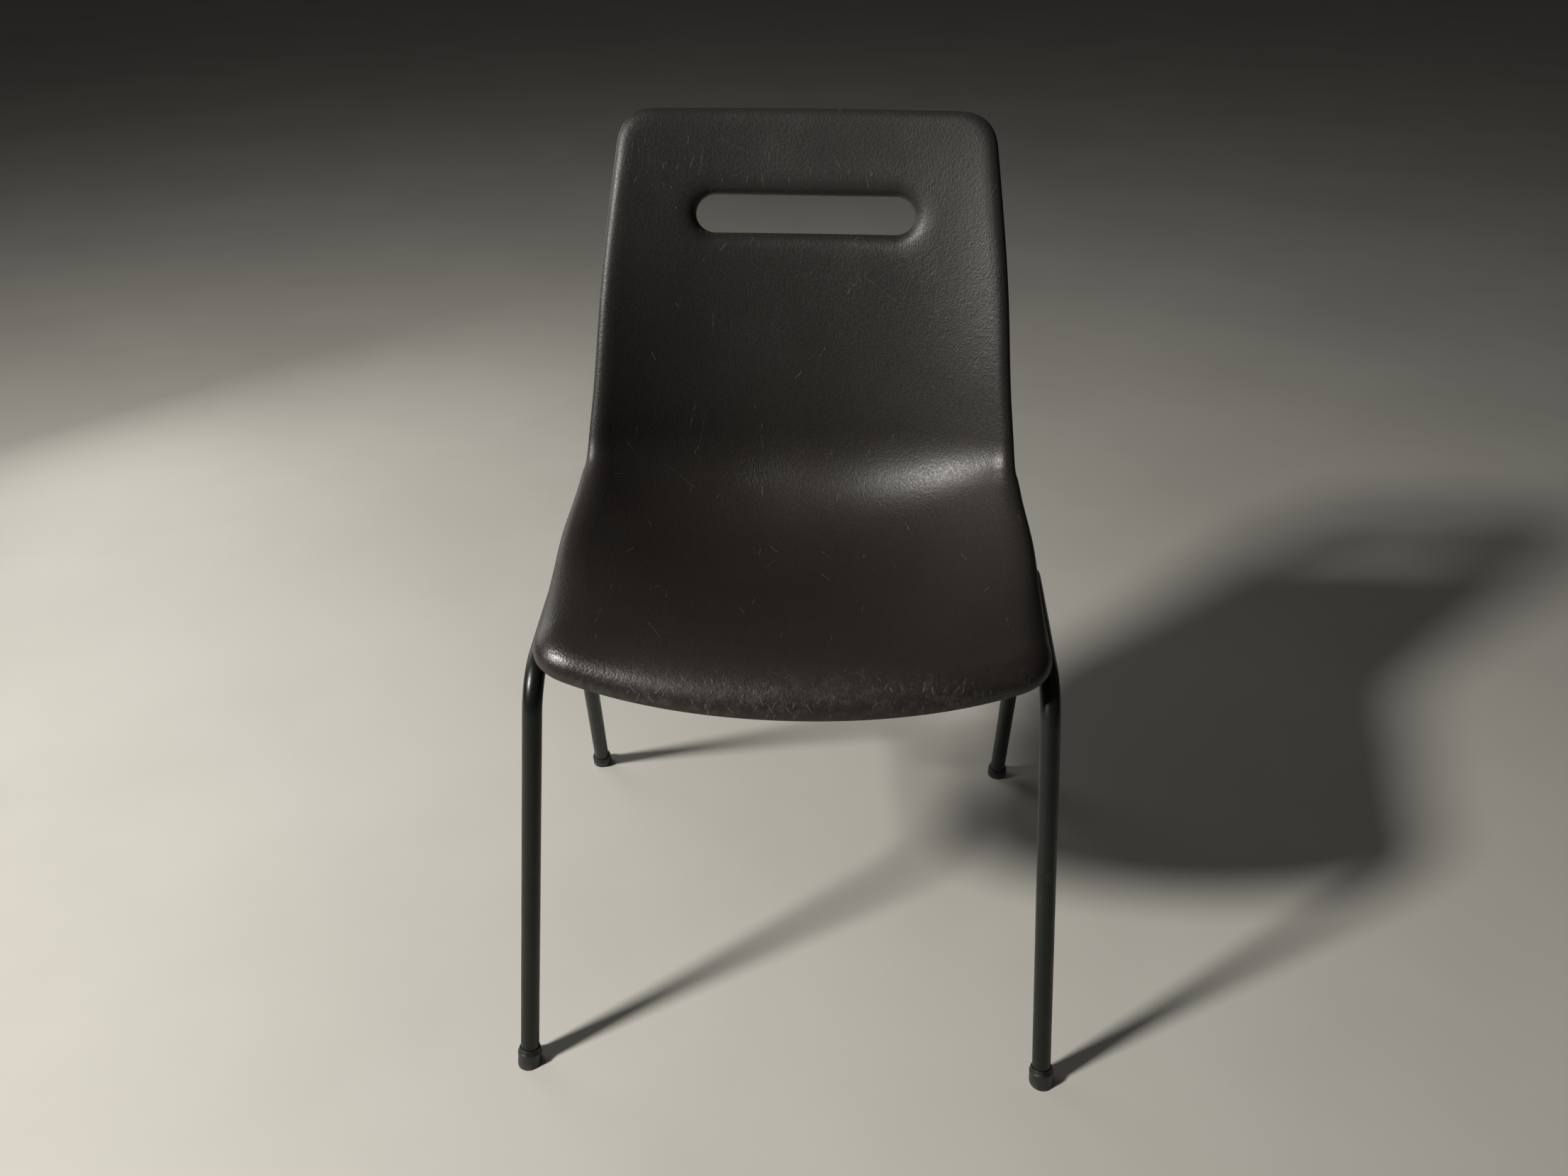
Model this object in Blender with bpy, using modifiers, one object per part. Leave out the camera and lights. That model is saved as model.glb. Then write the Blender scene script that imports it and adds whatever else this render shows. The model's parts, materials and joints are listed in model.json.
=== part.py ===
"""Stacking chair: a moulded bucket shell screwed to two bent-tube side frames.

Metres, +Z up. The chair faces -Y. "Left" is -X, as seen by someone who looks at
the front of the chair. The origin is on the floor, under the middle of the
chair's outer size.
"""

import math

import bmesh
import bpy
import numpy as np
from mathutils import Matrix, Vector
from mathutils.geometry import interpolate_bezier

GAP = 0.0003                      # clearance between pieces that touch
SIDES = (("left", -1), ("right", 1))

# Side frames: one steel tube each, front leg, run under the seat, rear leg
TUBE_RADIUS = 0.009
TUBE_WALL = 0.0015
TUBE_SIDES = 16
RUN_HEIGHT = 0.408                # axis of the run above the floor
BEND_RADIUS = 0.045
BEND_STEPS = 7
FRONT_FOOT = Vector((0.2550, -0.2335, 0.0))           # leg axis on the floor
REAR_FOOT = Vector((0.2630, 0.2328, 0.0))
FRONT_CORNER = Vector((0.2300, -0.1392, RUN_HEIGHT))  # leg axis meets run axis
REAR_CORNER = Vector((0.2405, 0.0800, RUN_HEIGHT))

# Cross tubes, coped and welded to the runs
CROSS_RADIUS = 0.008
CROSS_WALL = 0.0015
FRONT_CROSS_Y = -0.092
REAR_CROSS_Y = 0.030

# Foot caps, coaxial with the legs and cut level with the floor
CAP_RADIUS = 0.01175
CAP_TOP_RADIUS = 0.0101
CAP_SHOULDER = 0.0140             # along the leg, where the shoulder starts
CAP_TOP = 0.0190
CAP_FLOOR = 0.0062                # inside floor of the cap
CAP_BELOW = 0.001                 # the lowest ring, before it is slid to the floor
CAP_SIDES = 28
DISC_RADIUS = 0.0086
DISC_THICKNESS = 0.0012
TUBE_START = CAP_FLOOR + DISC_THICKNESS + 2 * GAP

# Mounting lugs on the cross tubes, and what fastens the shell to them
LUG_X = 0.100
LUG_WIDTH = 0.024
LUG_THICKNESS = 0.003
LUG_OVERLAP = 0.008               # from the tube's axis to the lug's square end
LUG_REACH = 0.018                 # from the tube's axis to the screw
LUG_HOLE_RADIUS = 0.0031
LUG_TOP = RUN_HEIGHT + CROSS_RADIUS + GAP + LUG_THICKNESS
WASHER_RADIUS = 0.0062
WASHER_THICKNESS = 0.0010
SCREW_RADIUS = 0.0024
SCREW_LENGTH = 0.0135
HEAD_RADIUS = 0.0047
HEAD_HEIGHT = 0.0030
DRIVER_SLOT = (0.012, 0.0012, 0.0024)
BOSS_RADIUS = 0.009
BOSS_HOLE_RADIUS = 0.0027
BOSS_HOLE_DEPTH = 0.0105

# Shell: knots of its middle line, front edge to top edge
# (y, z, heading above +Y in degrees, Bezier handle before, handle after)
SHELL_KNOTS = (
    (-0.1835, 0.4370, 1, 0.00, 0.06),
    (0.0200, 0.4245, -1, 0.07, 0.112),
    (0.1660, 0.5200, 82.5, 0.05, 0.10),
    (0.2365, 0.8260, 73, 0.12, 0.00),
)
# run along the middle line, half width, lift of the sides
SHELL_STATIONS = (
    (0.000, 0.2330, 0.006),
    (0.060, 0.2292, 0.016),
    (0.120, 0.2252, 0.035),
    (0.200, 0.2233, 0.063),
    (0.260, 0.2185, 0.078),
    (0.330, 0.2155, 0.082),
    (0.400, 0.2121, 0.068),
    (0.460, 0.2060, 0.057),
    (0.540, 0.1996, 0.043),
    (0.700, 0.1810, 0.018),
)
SIDE_POWER = 2.4                  # how the lift grows towards the sides
LIFT_SPAN = 0.055                 # half the run over which the lift's direction is taken
SHELL_THICKNESS = 0.004
FRONT_BOW = 0.033
TOP_CROWN = 0.0025
FRONT_CORNER_LEG = 0.040
TOP_CORNER_LEG = 0.034
# the rolled edge: how far in it starts to turn, and how far down it ends
FRONT_REACH, FRONT_DROP = 0.062, 0.0375
CORNER_REACH, CORNER_DROP = 0.042, 0.0260
SIDE_REACH, SIDE_DROP = 0.024, 0.0153
BACK_REACH, BACK_DROP = 0.016, 0.0094
SLOT_REACH, SLOT_DROP = 0.023, 0.0135
LEAST_CORNER = 0.012
ROLL_ANGLE = math.radians(100)
ROLL_POWER = 2.0                  # how gently the turn starts
ROLL_STEPS = 4
COLUMNS = 9                       # quads from the middle to one side
ROWS = 26                         # quads from the front to the top
CORNER_STEPS = 2                  # of them, in half a rounded corner

# Hand slot near the top of the back
SLOT_LENGTH = 0.213
SLOT_HEIGHT = 0.037
SLOT_BELOW_TOP = 0.0995           # slot's middle, from the top edge
WINDOW_COLUMNS = 8                # grid cells replaced by the rings of the slot
WINDOW_ROWS = (19, 24)
SLOT_RINGS = 2


def clear_scene():
    for item in list(bpy.data.objects):
        bpy.data.objects.remove(item, do_unlink=True)


def new_collection(name):
    collection = bpy.data.collections.new(name)
    bpy.context.scene.collection.children.link(collection)
    return collection


def new_material(name, colour, roughness, metallic=0.0):
    material = bpy.data.materials.new(name)
    material.use_nodes = True
    shader = material.node_tree.nodes["Principled BSDF"]
    shader.inputs["Base Color"].default_value = (*colour, 1.0)
    shader.inputs["Roughness"].default_value = roughness
    shader.inputs["Metallic"].default_value = metallic
    return material


def new_object(name, mesh, collection, material=None, smooth_below=35):
    """Link a mesh as one named object, smooth where faces meet below the angle."""
    item = bpy.data.objects.new(name, mesh)
    collection.objects.link(item)
    if material:
        mesh.materials.clear()
        mesh.materials.append(material)
    mesh.shade_smooth()
    mesh.set_sharp_from_angle(angle=math.radians(smooth_below))
    return item


def baked(item):
    """The object's mesh after its modifiers, with caps welded; the object goes."""
    depsgraph = bpy.context.evaluated_depsgraph_get()
    mesh = bpy.data.meshes.new_from_object(item.evaluated_get(depsgraph))
    mesh.transform(item.matrix_world)
    bpy.data.objects.remove(item, do_unlink=True)
    shape = bmesh.new()
    shape.from_mesh(mesh)
    bmesh.ops.remove_doubles(shape, verts=shape.verts, dist=1e-6)
    shape.to_mesh(mesh)
    shape.free()
    return mesh


def cylinder_mesh(name, radius, length, sides):
    """A cylinder along +Z that starts at the origin."""
    mesh = bpy.data.meshes.new(name)
    shape = bmesh.new()
    bmesh.ops.create_cone(shape, cap_ends=True, segments=sides, radius1=radius,
                          radius2=radius, depth=length,
                          matrix=Matrix.Translation((0, 0, length / 2)))
    shape.to_mesh(mesh)
    shape.free()
    return mesh


def box_mesh(name, size):
    """A box centred on its origin."""
    mesh = bpy.data.meshes.new(name)
    shape = bmesh.new()
    bmesh.ops.create_cube(shape, size=1, matrix=Matrix.Diagonal((*size, 1)))
    shape.to_mesh(mesh)
    shape.free()
    return mesh


def turned_mesh(name, profile, collection, steps):
    """A solid turned about Z from a profile that runs down its outer side."""
    mesh = bpy.data.meshes.new(name)
    points = [(radius, 0, height) for radius, height in profile]
    mesh.from_pydata(points, [(i, i + 1) for i in range(len(points) - 1)], [])
    item = bpy.data.objects.new(name, mesh)
    collection.objects.link(item)
    screw = item.modifiers.new("turn", "SCREW")
    screw.steps = screw.render_steps = steps
    screw.use_merge_vertices = True
    screw.merge_threshold = 0.00001
    bpy.context.view_layer.update()
    return baked(item)


def arc_profile(centre, radius, start, end, steps):
    """Points of an arc in a profile, angles in degrees."""
    angles = [math.radians(start + (end - start) * i / steps) for i in range(steps + 1)]
    return [(centre[0] + radius * math.cos(a), centre[1] + radius * math.sin(a))
            for a in angles]


def cut(item, cutter, operation="DIFFERENCE"):
    """Add a Boolean; the cutter stays as a wire guide."""
    cutter.hide_render = True
    cutter.display_type = "WIRE"
    boolean = item.modifiers.new(cutter.name, "BOOLEAN")
    boolean.operation = operation
    boolean.solver = "EXACT"
    boolean.object = cutter


def thicken(item, thickness, offset):
    solid = item.modifiers.new("wall", "SOLIDIFY")
    solid.thickness = thickness
    solid.offset = offset
    solid.use_even_offset = True


def along(direction):
    """Rotation that turns +Z onto a direction."""
    return Vector((0, 0, 1)).rotation_difference(direction)


def mirrored(point, side):
    """A point of the right-hand side, moved to the given side."""
    return Vector((side * point.x, point.y, point.z))


# --- Shell -------------------------------------------------------------------

def middle_line():
    """Samples of the shell's middle line: run, y and z."""
    points = []
    for before, after in zip(SHELL_KNOTS, SHELL_KNOTS[1:]):
        start, end = Vector(before[:2]), Vector(after[:2])
        leave, arrive = math.radians(before[2]), math.radians(after[2])
        first = start + before[4] * Vector((math.cos(leave), math.sin(leave)))
        second = end - after[3] * Vector((math.cos(arrive), math.sin(arrive)))
        points += interpolate_bezier(start, first, second, end, 60)[:-1]
    points.append(end)
    points = np.array([(p[0], p[1]) for p in points])
    steps = np.linalg.norm(np.diff(points, axis=0), axis=1)
    runs = np.concatenate(([0.0], np.cumsum(steps)))
    return runs, points[:, 0], points[:, 1]


LINE_RUNS, LINE_Y, LINE_Z = middle_line()
SHELL_LENGTH = float(LINE_RUNS[-1])


def station_value(run, column):
    """Smooth curve through one column of the shell's stations."""
    runs = [station[0] for station in SHELL_STATIONS]
    values = [station[column] for station in SHELL_STATIONS]
    slopes = np.gradient(values, runs)
    i = int(np.clip(np.searchsorted(runs, run) - 1, 0, len(runs) - 2))
    width = runs[i + 1] - runs[i]
    t = (run - runs[i]) / width
    value = ((1 + 2 * t) * (1 - t) ** 2 * values[i] + t * (1 - t) ** 2 * width * slopes[i]
             + t * t * (3 - 2 * t) * values[i + 1] + t * t * (t - 1) * width * slopes[i + 1])
    return float(value)


def half_width(run):
    return station_value(run, 1)


def smooth_step(low, high, value):
    t = min(max((value - low) / (high - low), 0.0), 1.0)
    return t * t * (3 - 2 * t)


def line_at(run):
    return (float(np.interp(run, LINE_RUNS, LINE_Y)), float(np.interp(run, LINE_RUNS, LINE_Z)))


def shell_point(x, run):
    """Point of the shell's upper face, at x across and run along its middle."""
    before, after = max(run - LIFT_SPAN, 0), min(run + LIFT_SPAN, SHELL_LENGTH)
    low, high = line_at(before), line_at(after)
    heading = Vector((0, high[0] - low[0], high[1] - low[1])).normalized()
    normal = Vector((1, 0, 0)).cross(heading)
    lift = station_value(run, 2) * abs(x / half_width(run)) ** SIDE_POWER
    return Vector((x, *line_at(run))) + lift * normal


def shell_frame(x, run):
    """Point, tangent across, tangent along and normal of the upper face."""
    step = 0.001
    across = (shell_point(x + step, run) - shell_point(x - step, run)).normalized()
    low, high = max(run - step, 0), min(run + step, SHELL_LENGTH)
    along_run = (shell_point(x, high) - shell_point(x, low)).normalized()
    return shell_point(x, run), across, along_run, across.cross(along_run).normalized()


def roll_profile():
    """Steps of the rolled edge: shares of its reach and of its drop."""
    parts = 400
    turns = [ROLL_ANGLE * ((i + 0.5) / parts) ** ROLL_POWER for i in range(parts)]
    outwards = np.concatenate(([0.0], np.cumsum(np.cos(turns))))
    downwards = np.concatenate(([0.0], np.cumsum(np.sin(turns))))
    steps = []
    for k in range(1, ROLL_STEPS + 1):
        share = (k / ROLL_STEPS) ** (1 / ROLL_POWER) * parts
        steps.append([float(np.interp(share, range(parts + 1), sums) / sums[-1])
                      for sums in (outwards, downwards)])
    return steps


def edge_size(x, run, front, corner_size, side, back):
    """Reach or drop of the rolled edge: large at the front, small round the back."""
    side += (back - side) * smooth_step(0.28, 0.42, run)
    front += (corner_size - front) * min((x / 0.20) ** 2, 1)
    return front + (side - front) * smooth_step(0.06, 0.18, run)


def edge_reach(x, run):
    return edge_size(x, run, FRONT_REACH, CORNER_REACH, SIDE_REACH, BACK_REACH)


def edge_drop(x, run):
    return edge_size(x, run, FRONT_DROP, CORNER_DROP, SIDE_DROP, BACK_DROP)


def corner(start, middle, end, t):
    return (1 - t) ** 2 * start + 2 * t * (1 - t) * middle + t * t * end


def outline(inner):
    """Right half of an outline in (x, run), front middle to top middle. The outer one
    is where the rolled edge ends, the inner one where it starts to turn."""
    width, top = half_width(0), half_width(SHELL_LENGTH)
    front_corner = Vector((half_width(FRONT_BOW), FRONT_BOW))
    back_corner = Vector((top, SHELL_LENGTH - TOP_CROWN))
    front_leg, back_leg = FRONT_CORNER_LEG, TOP_CORNER_LEG
    if inner:
        front_corner += Vector((-CORNER_REACH, CORNER_REACH))
        front_corner.y -= FRONT_BOW * (1 - (front_corner.x / width) ** 2)
        back_corner -= Vector((BACK_REACH, BACK_REACH))
        front_leg = max(front_leg - CORNER_REACH, LEAST_CORNER)
        back_leg = max(back_leg - BACK_REACH, LEAST_CORNER)

    def front_run(x):
        return FRONT_BOW * (x / width) ** 2 + (edge_reach(x, 0) if inner else 0)

    def back_run(x):
        return SHELL_LENGTH - TOP_CROWN * (x / top) ** 2 - (BACK_REACH if inner else 0)

    def side_x(run):
        return half_width(run) - (edge_reach(half_width(run), run) if inner else 0)

    spread, rows = COLUMNS - CORNER_STEPS, ROWS - 2 * CORNER_STEPS
    low, high = front_corner.y + front_leg, back_corner.y - back_leg
    front = [Vector((x, front_run(x))) for x in
             ((front_corner.x - front_leg) * i / spread for i in range(spread + 1))]
    side = [Vector((side_x(run), run)) for run in
            (low + (high - low) * i / rows for i in range(rows + 1))]
    back = [Vector((x, back_run(x))) for x in
            ((back_corner.x - back_leg) * (1 - i / spread) for i in range(spread + 1))]
    turns = [i / (2 * CORNER_STEPS) for i in range(1, 2 * CORNER_STEPS)]
    front_turn = [corner(front[-1], front_corner, side[0], t) for t in turns]
    back_turn = [corner(side[-1], back_corner, back[0], t) for t in turns]
    return front + front_turn + side + back_turn + back


def shell_grid():
    """(x, run) of every grid vertex, filled between the four sides of the half."""
    edge = outline(inner=True)
    front, side = edge[:COLUMNS + 1], edge[COLUMNS:COLUMNS + ROWS + 1]
    back = edge[COLUMNS + ROWS:][::-1]
    grid = {}
    for j in range(ROWS + 1):
        v = (side[j].y - side[0].y) / (side[-1].y - side[0].y)
        middle = front[0].lerp(back[0], v)
        for i in range(COLUMNS + 1):
            u = front[i].x / front[-1].x
            corners = (front[0].lerp(front[-1], u)).lerp(back[0].lerp(back[-1], u), v)
            grid[i, j] = front[i].lerp(back[i], v) + middle.lerp(side[j], u) - corners
    return grid


def slot_outlines(count):
    """Right halves of the outlines where the slot's flare starts and ends."""
    flare = SLOT_HEIGHT / 2 + SLOT_REACH
    straight = (SLOT_LENGTH - SLOT_HEIGHT) / 2
    length = 2 * straight + math.pi * flare
    run = SHELL_LENGTH - SLOT_BELOW_TOP
    starts, ends = [], []
    for i in range(count + 1):
        gone = length * i / count
        angle = min(max((gone - straight) / flare, 0), math.pi) - math.pi / 2
        centre = Vector((min(gone, straight, length - gone), run))
        way = Vector((math.cos(angle), math.sin(angle)))
        starts.append(centre + flare * way)
        ends.append(centre + SLOT_HEIGHT / 2 * way)
    for point in (starts[0], starts[-1], ends[0], ends[-1]):
        point.x = 0.0
    return starts, ends


def add_strip(shape, first, second):
    for i in range(len(first) - 1):
        shape.faces.new((first[i], first[i + 1], second[i + 1], second[i]))


def add_roll(shape, start, chain, ends, drops):
    """Roll an edge back in rings, from a chain of (x, run) points to another."""
    frames = [shell_frame(*point) for point in chain]
    previous = start
    for out, down in roll_profile():
        ring = []
        for point, end, drop, (place, across, along_run, normal) in zip(chain, ends, drops,
                                                                        frames):
            way = end - point
            outward = (way.x * across + way.y * along_run).normalized() * way.length
            ring.append(shape.verts.new(place + out * outward - down * drop * normal))
        add_strip(shape, previous, ring)
        previous = ring


def shell_half_mesh():
    """Right half of the shell's upper face, open at the middle plane."""
    shape = bmesh.new()
    grid = shell_grid()
    first, last = WINDOW_ROWS
    window = ([(i, first) for i in range(WINDOW_COLUMNS)]
              + [(WINDOW_COLUMNS, j) for j in range(first, last)]
              + [(i, last) for i in range(WINDOW_COLUMNS, -1, -1)])
    inside = {(i, j) for i in range(WINDOW_COLUMNS) for j in range(first + 1, last)}
    verts = {key: shape.verts.new(shell_point(*point))
             for key, point in grid.items() if key not in inside}
    for i in range(COLUMNS):
        for j in range(ROWS):
            if i < WINDOW_COLUMNS and first <= j < last:
                continue
            shape.faces.new((verts[i, j], verts[i + 1, j], verts[i + 1, j + 1], verts[i, j + 1]))
    # the slot: rings that change from the window's outline to the slot's, then the roll
    slot, slot_edge = slot_outlines(len(window) - 1)
    outer = [verts[key] for key in window]
    for step in range(1, SLOT_RINGS + 1):
        ring = [shape.verts.new(shell_point(*grid[key].lerp(point, step / SLOT_RINGS)))
                for key, point in zip(window, slot)]
        add_strip(shape, ring, outer)
        outer = ring
    add_roll(shape, outer, slot, slot_edge, [SLOT_DROP] * len(slot))
    # the outer edge
    keys = ([(i, 0) for i in range(COLUMNS + 1)] + [(COLUMNS, j) for j in range(1, ROWS + 1)]
            + [(i, ROWS) for i in range(COLUMNS - 1, -1, -1)])
    add_roll(shape, [verts[key] for key in keys], [grid[key] for key in keys],
             outline(inner=False), [edge_drop(*grid[key]) for key in keys])
    bmesh.ops.recalc_face_normals(shape, faces=shape.faces)
    if sum(face.normal.z for face in shape.faces) < 0:
        bmesh.ops.reverse_faces(shape, faces=shape.faces)
    for vert in shape.verts:
        if abs(vert.co.x) < 1e-5:
            vert.co.x = 0.0
    mesh = bpy.data.meshes.new("seat_shell")
    shape.to_mesh(mesh)
    shape.free()
    return mesh


def cylinders_mesh(name, places, radius, length, sides):
    """Several upright cylinders in one mesh."""
    shape = bmesh.new()
    for place in places:
        bmesh.ops.create_cone(shape, cap_ends=True, segments=sides, radius1=radius,
                              radius2=radius, depth=length,
                              matrix=Matrix.Translation(place + Vector((0, 0, length / 2))))
    mesh = bpy.data.meshes.new(name)
    shape.to_mesh(mesh)
    shape.free()
    return mesh


def screw_places():
    """Names and (x, y) of the four screws."""
    front, rear = FRONT_CROSS_Y - LUG_REACH, REAR_CROSS_Y + LUG_REACH
    return [(f"{row}_{name}", Vector((side * LUG_X, y, 0)))
            for row, y in (("front", front), ("rear", rear)) for name, side in SIDES]


def build_shell(parts, cutters, material):
    """Bucket shell with its rolled edge, flared hand slot and four screw bosses."""
    shell = new_object("seat_shell", shell_half_mesh(), parts, material, 50)
    mirror = shell.modifiers.new("halves", "MIRROR")
    mirror.merge_threshold = 0.00005
    thicken(shell, SHELL_THICKNESS, -1)
    base = Vector((0, 0, LUG_TOP + GAP))
    places = [place + base for _, place in screw_places()]
    for name, row in (("front_bosses", places[:2]), ("rear_bosses", places[2:])):
        run = float(np.interp(row[0].y, LINE_Y, LINE_RUNS))
        height = shell_point(LUG_X, run).z - SHELL_THICKNESS / 2 - base.z
        bosses = cylinders_mesh(name, row, BOSS_RADIUS, height, 24)
        cut(shell, new_object(name, bosses, cutters), "UNION")
    lowered = [place - Vector((0, 0, 0.002)) for place in places]
    holes = cylinders_mesh("boss_holes", lowered, BOSS_HOLE_RADIUS, BOSS_HOLE_DEPTH + 0.002, 12)
    cut(shell, new_object("boss_holes", holes, cutters))


# --- Frame -------------------------------------------------------------------

def bend(before, middle, after, radius, steps):
    """Arc that rounds the corner between two straight lengths of tube."""
    back, ahead = (before - middle).normalized(), (after - middle).normalized()
    half = back.angle(ahead) / 2
    bisector = (back + ahead).normalized()
    centre = middle + bisector * radius / math.sin(half)
    start = middle + back * radius / math.tan(half) - centre
    turn = math.pi - 2 * half
    axis = start.cross(middle - centre).normalized()
    return [centre + Matrix.Rotation(turn * i / steps, 3, axis) @ start for i in range(steps + 1)]


def frame_line(side):
    """Centre line of one side frame, front leg to rear leg."""
    foot, low, high, end = (mirrored(point, side) for point in
                            (FRONT_FOOT, FRONT_CORNER, REAR_CORNER, REAR_FOOT))
    start = foot + TUBE_START * (low - foot).normalized()
    finish = end + TUBE_START * (high - end).normalized()
    return ([start] + bend(foot, low, high, BEND_RADIUS, BEND_STEPS)
            + bend(low, high, end, BEND_RADIUS, BEND_STEPS) + [finish])


def open_tube_mesh(name, line, radius, collection):
    """Open tube surface along a line of points."""
    curve = bpy.data.curves.new(name, "CURVE")
    curve.dimensions = "3D"
    spline = curve.splines.new("POLY")
    spline.points.add(len(line) - 1)
    for point, place in zip(spline.points, line):
        point.co = (*place, 1.0)
    curve.bevel_depth = radius
    curve.bevel_resolution = (TUBE_SIDES - 4) // 2
    curve.use_fill_caps = False
    item = bpy.data.objects.new(name, curve)
    collection.objects.link(item)
    bpy.context.view_layer.update()
    return baked(item)


def build_side_frame(name, side, parts, material):
    mesh = open_tube_mesh(name, frame_line(side), TUBE_RADIUS, parts)
    item = new_object(name, mesh, parts, material)
    thicken(item, TUBE_WALL, -1)
    return item


def run_x(y):
    """Distance of the run's axis from the middle plane."""
    share = (y - FRONT_CORNER.y) / (REAR_CORNER.y - FRONT_CORNER.y)
    return FRONT_CORNER.x + share * (REAR_CORNER.x - FRONT_CORNER.x)


def build_cross_tube(name, y, parts, cutters, material):
    """Tube between the two runs, its ends coped to fit them."""
    reach = run_x(y)
    line = [Vector((side * reach, y, RUN_HEIGHT)) for side in (-1, 1)]
    item = new_object(name, open_tube_mesh(name, line, CROSS_RADIUS, parts), parts, material)
    thicken(item, CROSS_WALL, -1)
    for side_name, side in SIDES:
        start, end = mirrored(FRONT_CORNER, side), mirrored(REAR_CORNER, side)
        cutter = new_object(f"{name}_cope_{side_name}", cylinder_mesh(
            f"{name}_cope_{side_name}", TUBE_RADIUS + GAP, (end - start).length, 32), cutters)
        cutter.location = start
        cutter.rotation_mode = "QUATERNION"
        cutter.rotation_quaternion = along(end - start)
        cut(item, cutter)
    return item


# --- Foot caps ----------------------------------------------------------------

def cap_profile():
    bore = TUBE_RADIUS + GAP
    shoulder = arc_profile((CAP_TOP_RADIUS - 0.0012, CAP_TOP - 0.0012), 0.0012, 90, 30, 2)
    return ([(0, CAP_FLOOR), (bore, CAP_FLOOR), (bore, CAP_TOP)] + shoulder
            + [(CAP_RADIUS, CAP_SHOULDER), (CAP_RADIUS, -CAP_BELOW), (0, -CAP_BELOW)])


def build_foot(name, foot, top, parts, rubber, steel):
    """Foot cap cut level with the floor, and the steel disc inside it."""
    leg = (top - foot).normalized()
    cap = new_object(f"foot_cap_{name}", turned_mesh(
        f"foot_cap_{name}", cap_profile(), parts, CAP_SIDES), parts, rubber)
    disc = new_object(f"foot_disc_{name}", cylinder_mesh(
        f"foot_disc_{name}", DISC_RADIUS, DISC_THICKNESS, 20), parts, steel)
    cap.location = foot
    disc.location = foot + (CAP_FLOOR + GAP) * leg
    for item in (cap, disc):
        item.rotation_mode = "QUATERNION"
        item.rotation_quaternion = along(leg)
    # slide the lowest ring along the leg until it lies on the floor
    turned = along(leg).to_matrix()
    for vert in cap.data.vertices:
        if vert.co.z < 0:
            vert.co.z -= (turned @ vert.co).z / leg.z


# --- Lugs, screws and washers --------------------------------------------------

def lug_mesh(collection):
    """Flat tab with a round end towards +Y and a screw hole; origin on the tube."""
    curve = bpy.data.curves.new("lug", "CURVE")
    curve.dimensions = "2D"
    curve.fill_mode = "BOTH"
    curve.extrude = LUG_THICKNESS / 2
    half = LUG_WIDTH / 2
    outline = [(half, -LUG_OVERLAP)] + arc_profile((0, LUG_REACH), half, 0, 180, 12)
    outline.append((-half, -LUG_OVERLAP))
    hole = arc_profile((0, LUG_REACH), LUG_HOLE_RADIUS, 360, 0, 16)[:-1]
    for points in (outline, hole):
        spline = curve.splines.new("POLY")
        spline.points.add(len(points) - 1)
        spline.use_cyclic_u = True
        for point, place in zip(spline.points, points):
            point.co = (*place, 0.0, 1.0)
    item = bpy.data.objects.new("lug", curve)
    collection.objects.link(item)
    item.location.z = LUG_THICKNESS / 2
    bpy.context.view_layer.update()
    return baked(item)


def washer_mesh(collection):
    bore = SCREW_RADIUS + 2 * GAP
    profile = [(bore, WASHER_THICKNESS), (WASHER_RADIUS, WASHER_THICKNESS),
               (WASHER_RADIUS, 0), (bore, 0), (bore, WASHER_THICKNESS)]
    return turned_mesh("washer", profile, collection, 20)


def screw_mesh(collection):
    """Pan head screw, head down, with its shank along +Z from the head's seat."""
    dome = [(HEAD_RADIUS * math.sin(math.radians(a)),
             -HEAD_HEIGHT * (0.45 + 0.55 * math.cos(math.radians(a)))) for a in (90, 60, 30)]
    profile = ([(0, SCREW_LENGTH), (SCREW_RADIUS * 0.6, SCREW_LENGTH),
                (SCREW_RADIUS, SCREW_LENGTH - 0.0015), (SCREW_RADIUS, 0), (HEAD_RADIUS, 0)]
               + dome + [(0, -HEAD_HEIGHT)])
    return turned_mesh("screw", profile, collection, 16)


def build_fastenings(parts, cutters, black, steel):
    lug, washer, screw = lug_mesh(parts), washer_mesh(parts), screw_mesh(parts)
    under = RUN_HEIGHT + CROSS_RADIUS + GAP
    for name, place in screw_places():
        tab = new_object(f"mounting_lug_{name}", lug.copy(), parts, black)
        front = name.startswith("front")
        tab.location = (place.x, FRONT_CROSS_Y if front else REAR_CROSS_Y, under)
        tab.rotation_euler.z = math.pi if front else 0
        ring = new_object(f"washer_{name}", washer.copy(), parts, steel)
        ring.location = place + Vector((0, 0, under - GAP - WASHER_THICKNESS))
        fastener = new_object(f"screw_{name}", screw.copy(), parts, steel)
        fastener.location = place + Vector((0, 0, under - 2 * GAP - WASHER_THICKNESS))
        blade = new_object(f"driver_slot_{name}", box_mesh(
            f"driver_slot_{name}", DRIVER_SLOT), cutters)
        blade.location = fastener.location - Vector((0, 0, HEAD_HEIGHT))
        blade.rotation_euler.z = math.radians(10)
        cut(fastener, blade)


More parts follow.
